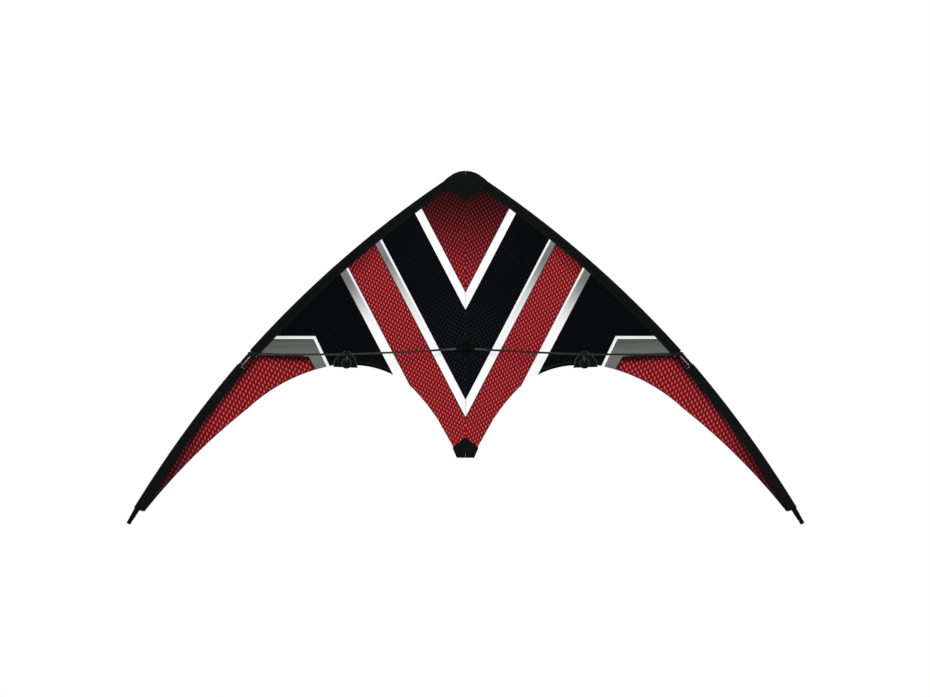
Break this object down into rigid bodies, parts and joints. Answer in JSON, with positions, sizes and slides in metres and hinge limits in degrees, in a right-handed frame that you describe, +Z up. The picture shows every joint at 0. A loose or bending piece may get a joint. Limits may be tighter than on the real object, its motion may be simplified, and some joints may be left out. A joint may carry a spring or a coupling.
{
  "type": "stunt kite",
  "caption": "Dual-line delta stunt kite: swept red, black and white sail on a rod frame, with standoffs, sleeved leading edges and wings that fold back about the spine.",
  "frame": {"origin": "centre of the bridle eye in front of the centre T; the spine's axis is 17 mm behind it", "axes": "+X along the span to the right as the flyer sees it, +Y away from the flyer (downwind), +Z up the spine towards the nose"},
  "size_m": [1.3024, 0.1191, 0.6791],
  "materials": {
    "red_sailcloth": "ripstop weave printed with a pale fleck, satin",
    "black_sailcloth": "ripstop weave printed with a grey fleck, satin",
    "white_sailcloth": "white sailcloth, satin",
    "silver_sailcloth": "silver-grey coated sailcloth, brushed sheen",
    "black_tape": "woven edging tape",
    "black_webbing": "heavy woven webbing",
    "black_sleeve": "heavy polyester sleeve cloth",
    "carbon_rod": "pultruded rod, glossy dark grey",
    "ferrule_metal": "drawn tube, satin",
    "black_plastic": "moulded nylon, fine texture",
    "black_vinyl": "soft moulded vinyl, satin"
  },
  "bodies": {
    "spine": {"spine_rod": "carbon_rod", "centre_t_hub": "black_vinyl", "spine_top_cap": "black_vinyl", "spine_bottom_cap": "black_vinyl"},
    "left_wing": {"left_crown_panel": "red_sailcloth", "left_upper_stripe": "white_sailcloth", "left_black_band": "black_sailcloth", "left_middle_stripe": "white_sailcloth", "left_red_band": "red_sailcloth", "left_lower_stripe": "white_sailcloth", "left_black_wing_panel": "black_sailcloth", "left_silver_panel": "silver_sailcloth", "left_red_tip_panel": "red_sailcloth", "left_tip_patch": "black_sailcloth", "left_trailing_edge_hem": "black_tape", "left_standoff_patch": "black_webbing", "left_keel_patch": "black_webbing", "left_nose_pocket": "black_webbing", "left_upper_sleeve": "black_sleeve", "left_lower_sleeve": "black_sleeve", "left_upper_spar": "carbon_rod", "left_lower_spar": "carbon_rod", "left_spar_ferrule": "ferrule_metal", "left_tip_cap": "black_plastic", "left_leading_edge_connector": "black_vinyl", "left_connector_stop_clip": "black_plastic", "left_spreader": "carbon_rod", "left_t_arm": "black_vinyl", "left_standoff_disc": "black_plastic", "left_disc_washer": "black_plastic"},
    "right_wing": {"right_crown_panel": "red_sailcloth", "right_upper_stripe": "white_sailcloth", "right_black_band": "black_sailcloth", "right_middle_stripe": "white_sailcloth", "right_red_band": "red_sailcloth", "right_lower_stripe": "white_sailcloth", "right_black_wing_panel": "black_sailcloth", "right_silver_panel": "silver_sailcloth", "right_red_tip_panel": "red_sailcloth", "right_tip_patch": "black_sailcloth", "right_trailing_edge_hem": "black_tape", "right_standoff_patch": "black_webbing", "right_keel_patch": "black_webbing", "right_nose_pocket": "black_webbing", "right_upper_sleeve": "black_sleeve", "right_lower_sleeve": "black_sleeve", "right_upper_spar": "carbon_rod", "right_lower_spar": "carbon_rod", "right_spar_ferrule": "ferrule_metal", "right_tip_cap": "black_plastic", "right_leading_edge_connector": "black_vinyl", "right_connector_stop_clip": "black_plastic", "right_spreader": "carbon_rod", "right_t_arm": "black_vinyl", "right_standoff_disc": "black_plastic", "right_disc_washer": "black_plastic"},
    "left_standoff": {"left_standoff_clip": "black_plastic", "left_standoff_rod": "carbon_rod"},
    "right_standoff": {"right_standoff_clip": "black_plastic", "right_standoff_rod": "carbon_rod"}
  },
  "joints": [
    {"name": "right_wing_fold", "type": "hinge", "parent": "spine", "child": "right_wing", "pos_m": [0, 0.017, 0], "axis": [0, 0, 1], "range_deg": [0, 50], "stiffness_Nm_per_rad": 0.3},
    {"name": "left_wing_fold", "type": "hinge", "parent": "spine", "child": "left_wing", "pos_m": [0, 0.017, 0], "axis": [0, 0, -1], "range_deg": [0, 50], "stiffness_Nm_per_rad": 0.3},
    {"name": "right_standoff_swing", "type": "hinge", "parent": "right_wing", "child": "right_standoff", "pos_m": [0.227, 0.0269, -0.00954], "axis": [-0.9967, -0.0779, 0.0226], "range_deg": [0, 75]},
    {"name": "left_standoff_swing", "type": "hinge", "parent": "left_wing", "child": "left_standoff", "pos_m": [-0.227, 0.0269, -0.00954], "axis": [-0.9967, 0.0779, -0.0226], "range_deg": [0, 75]}
  ]
}
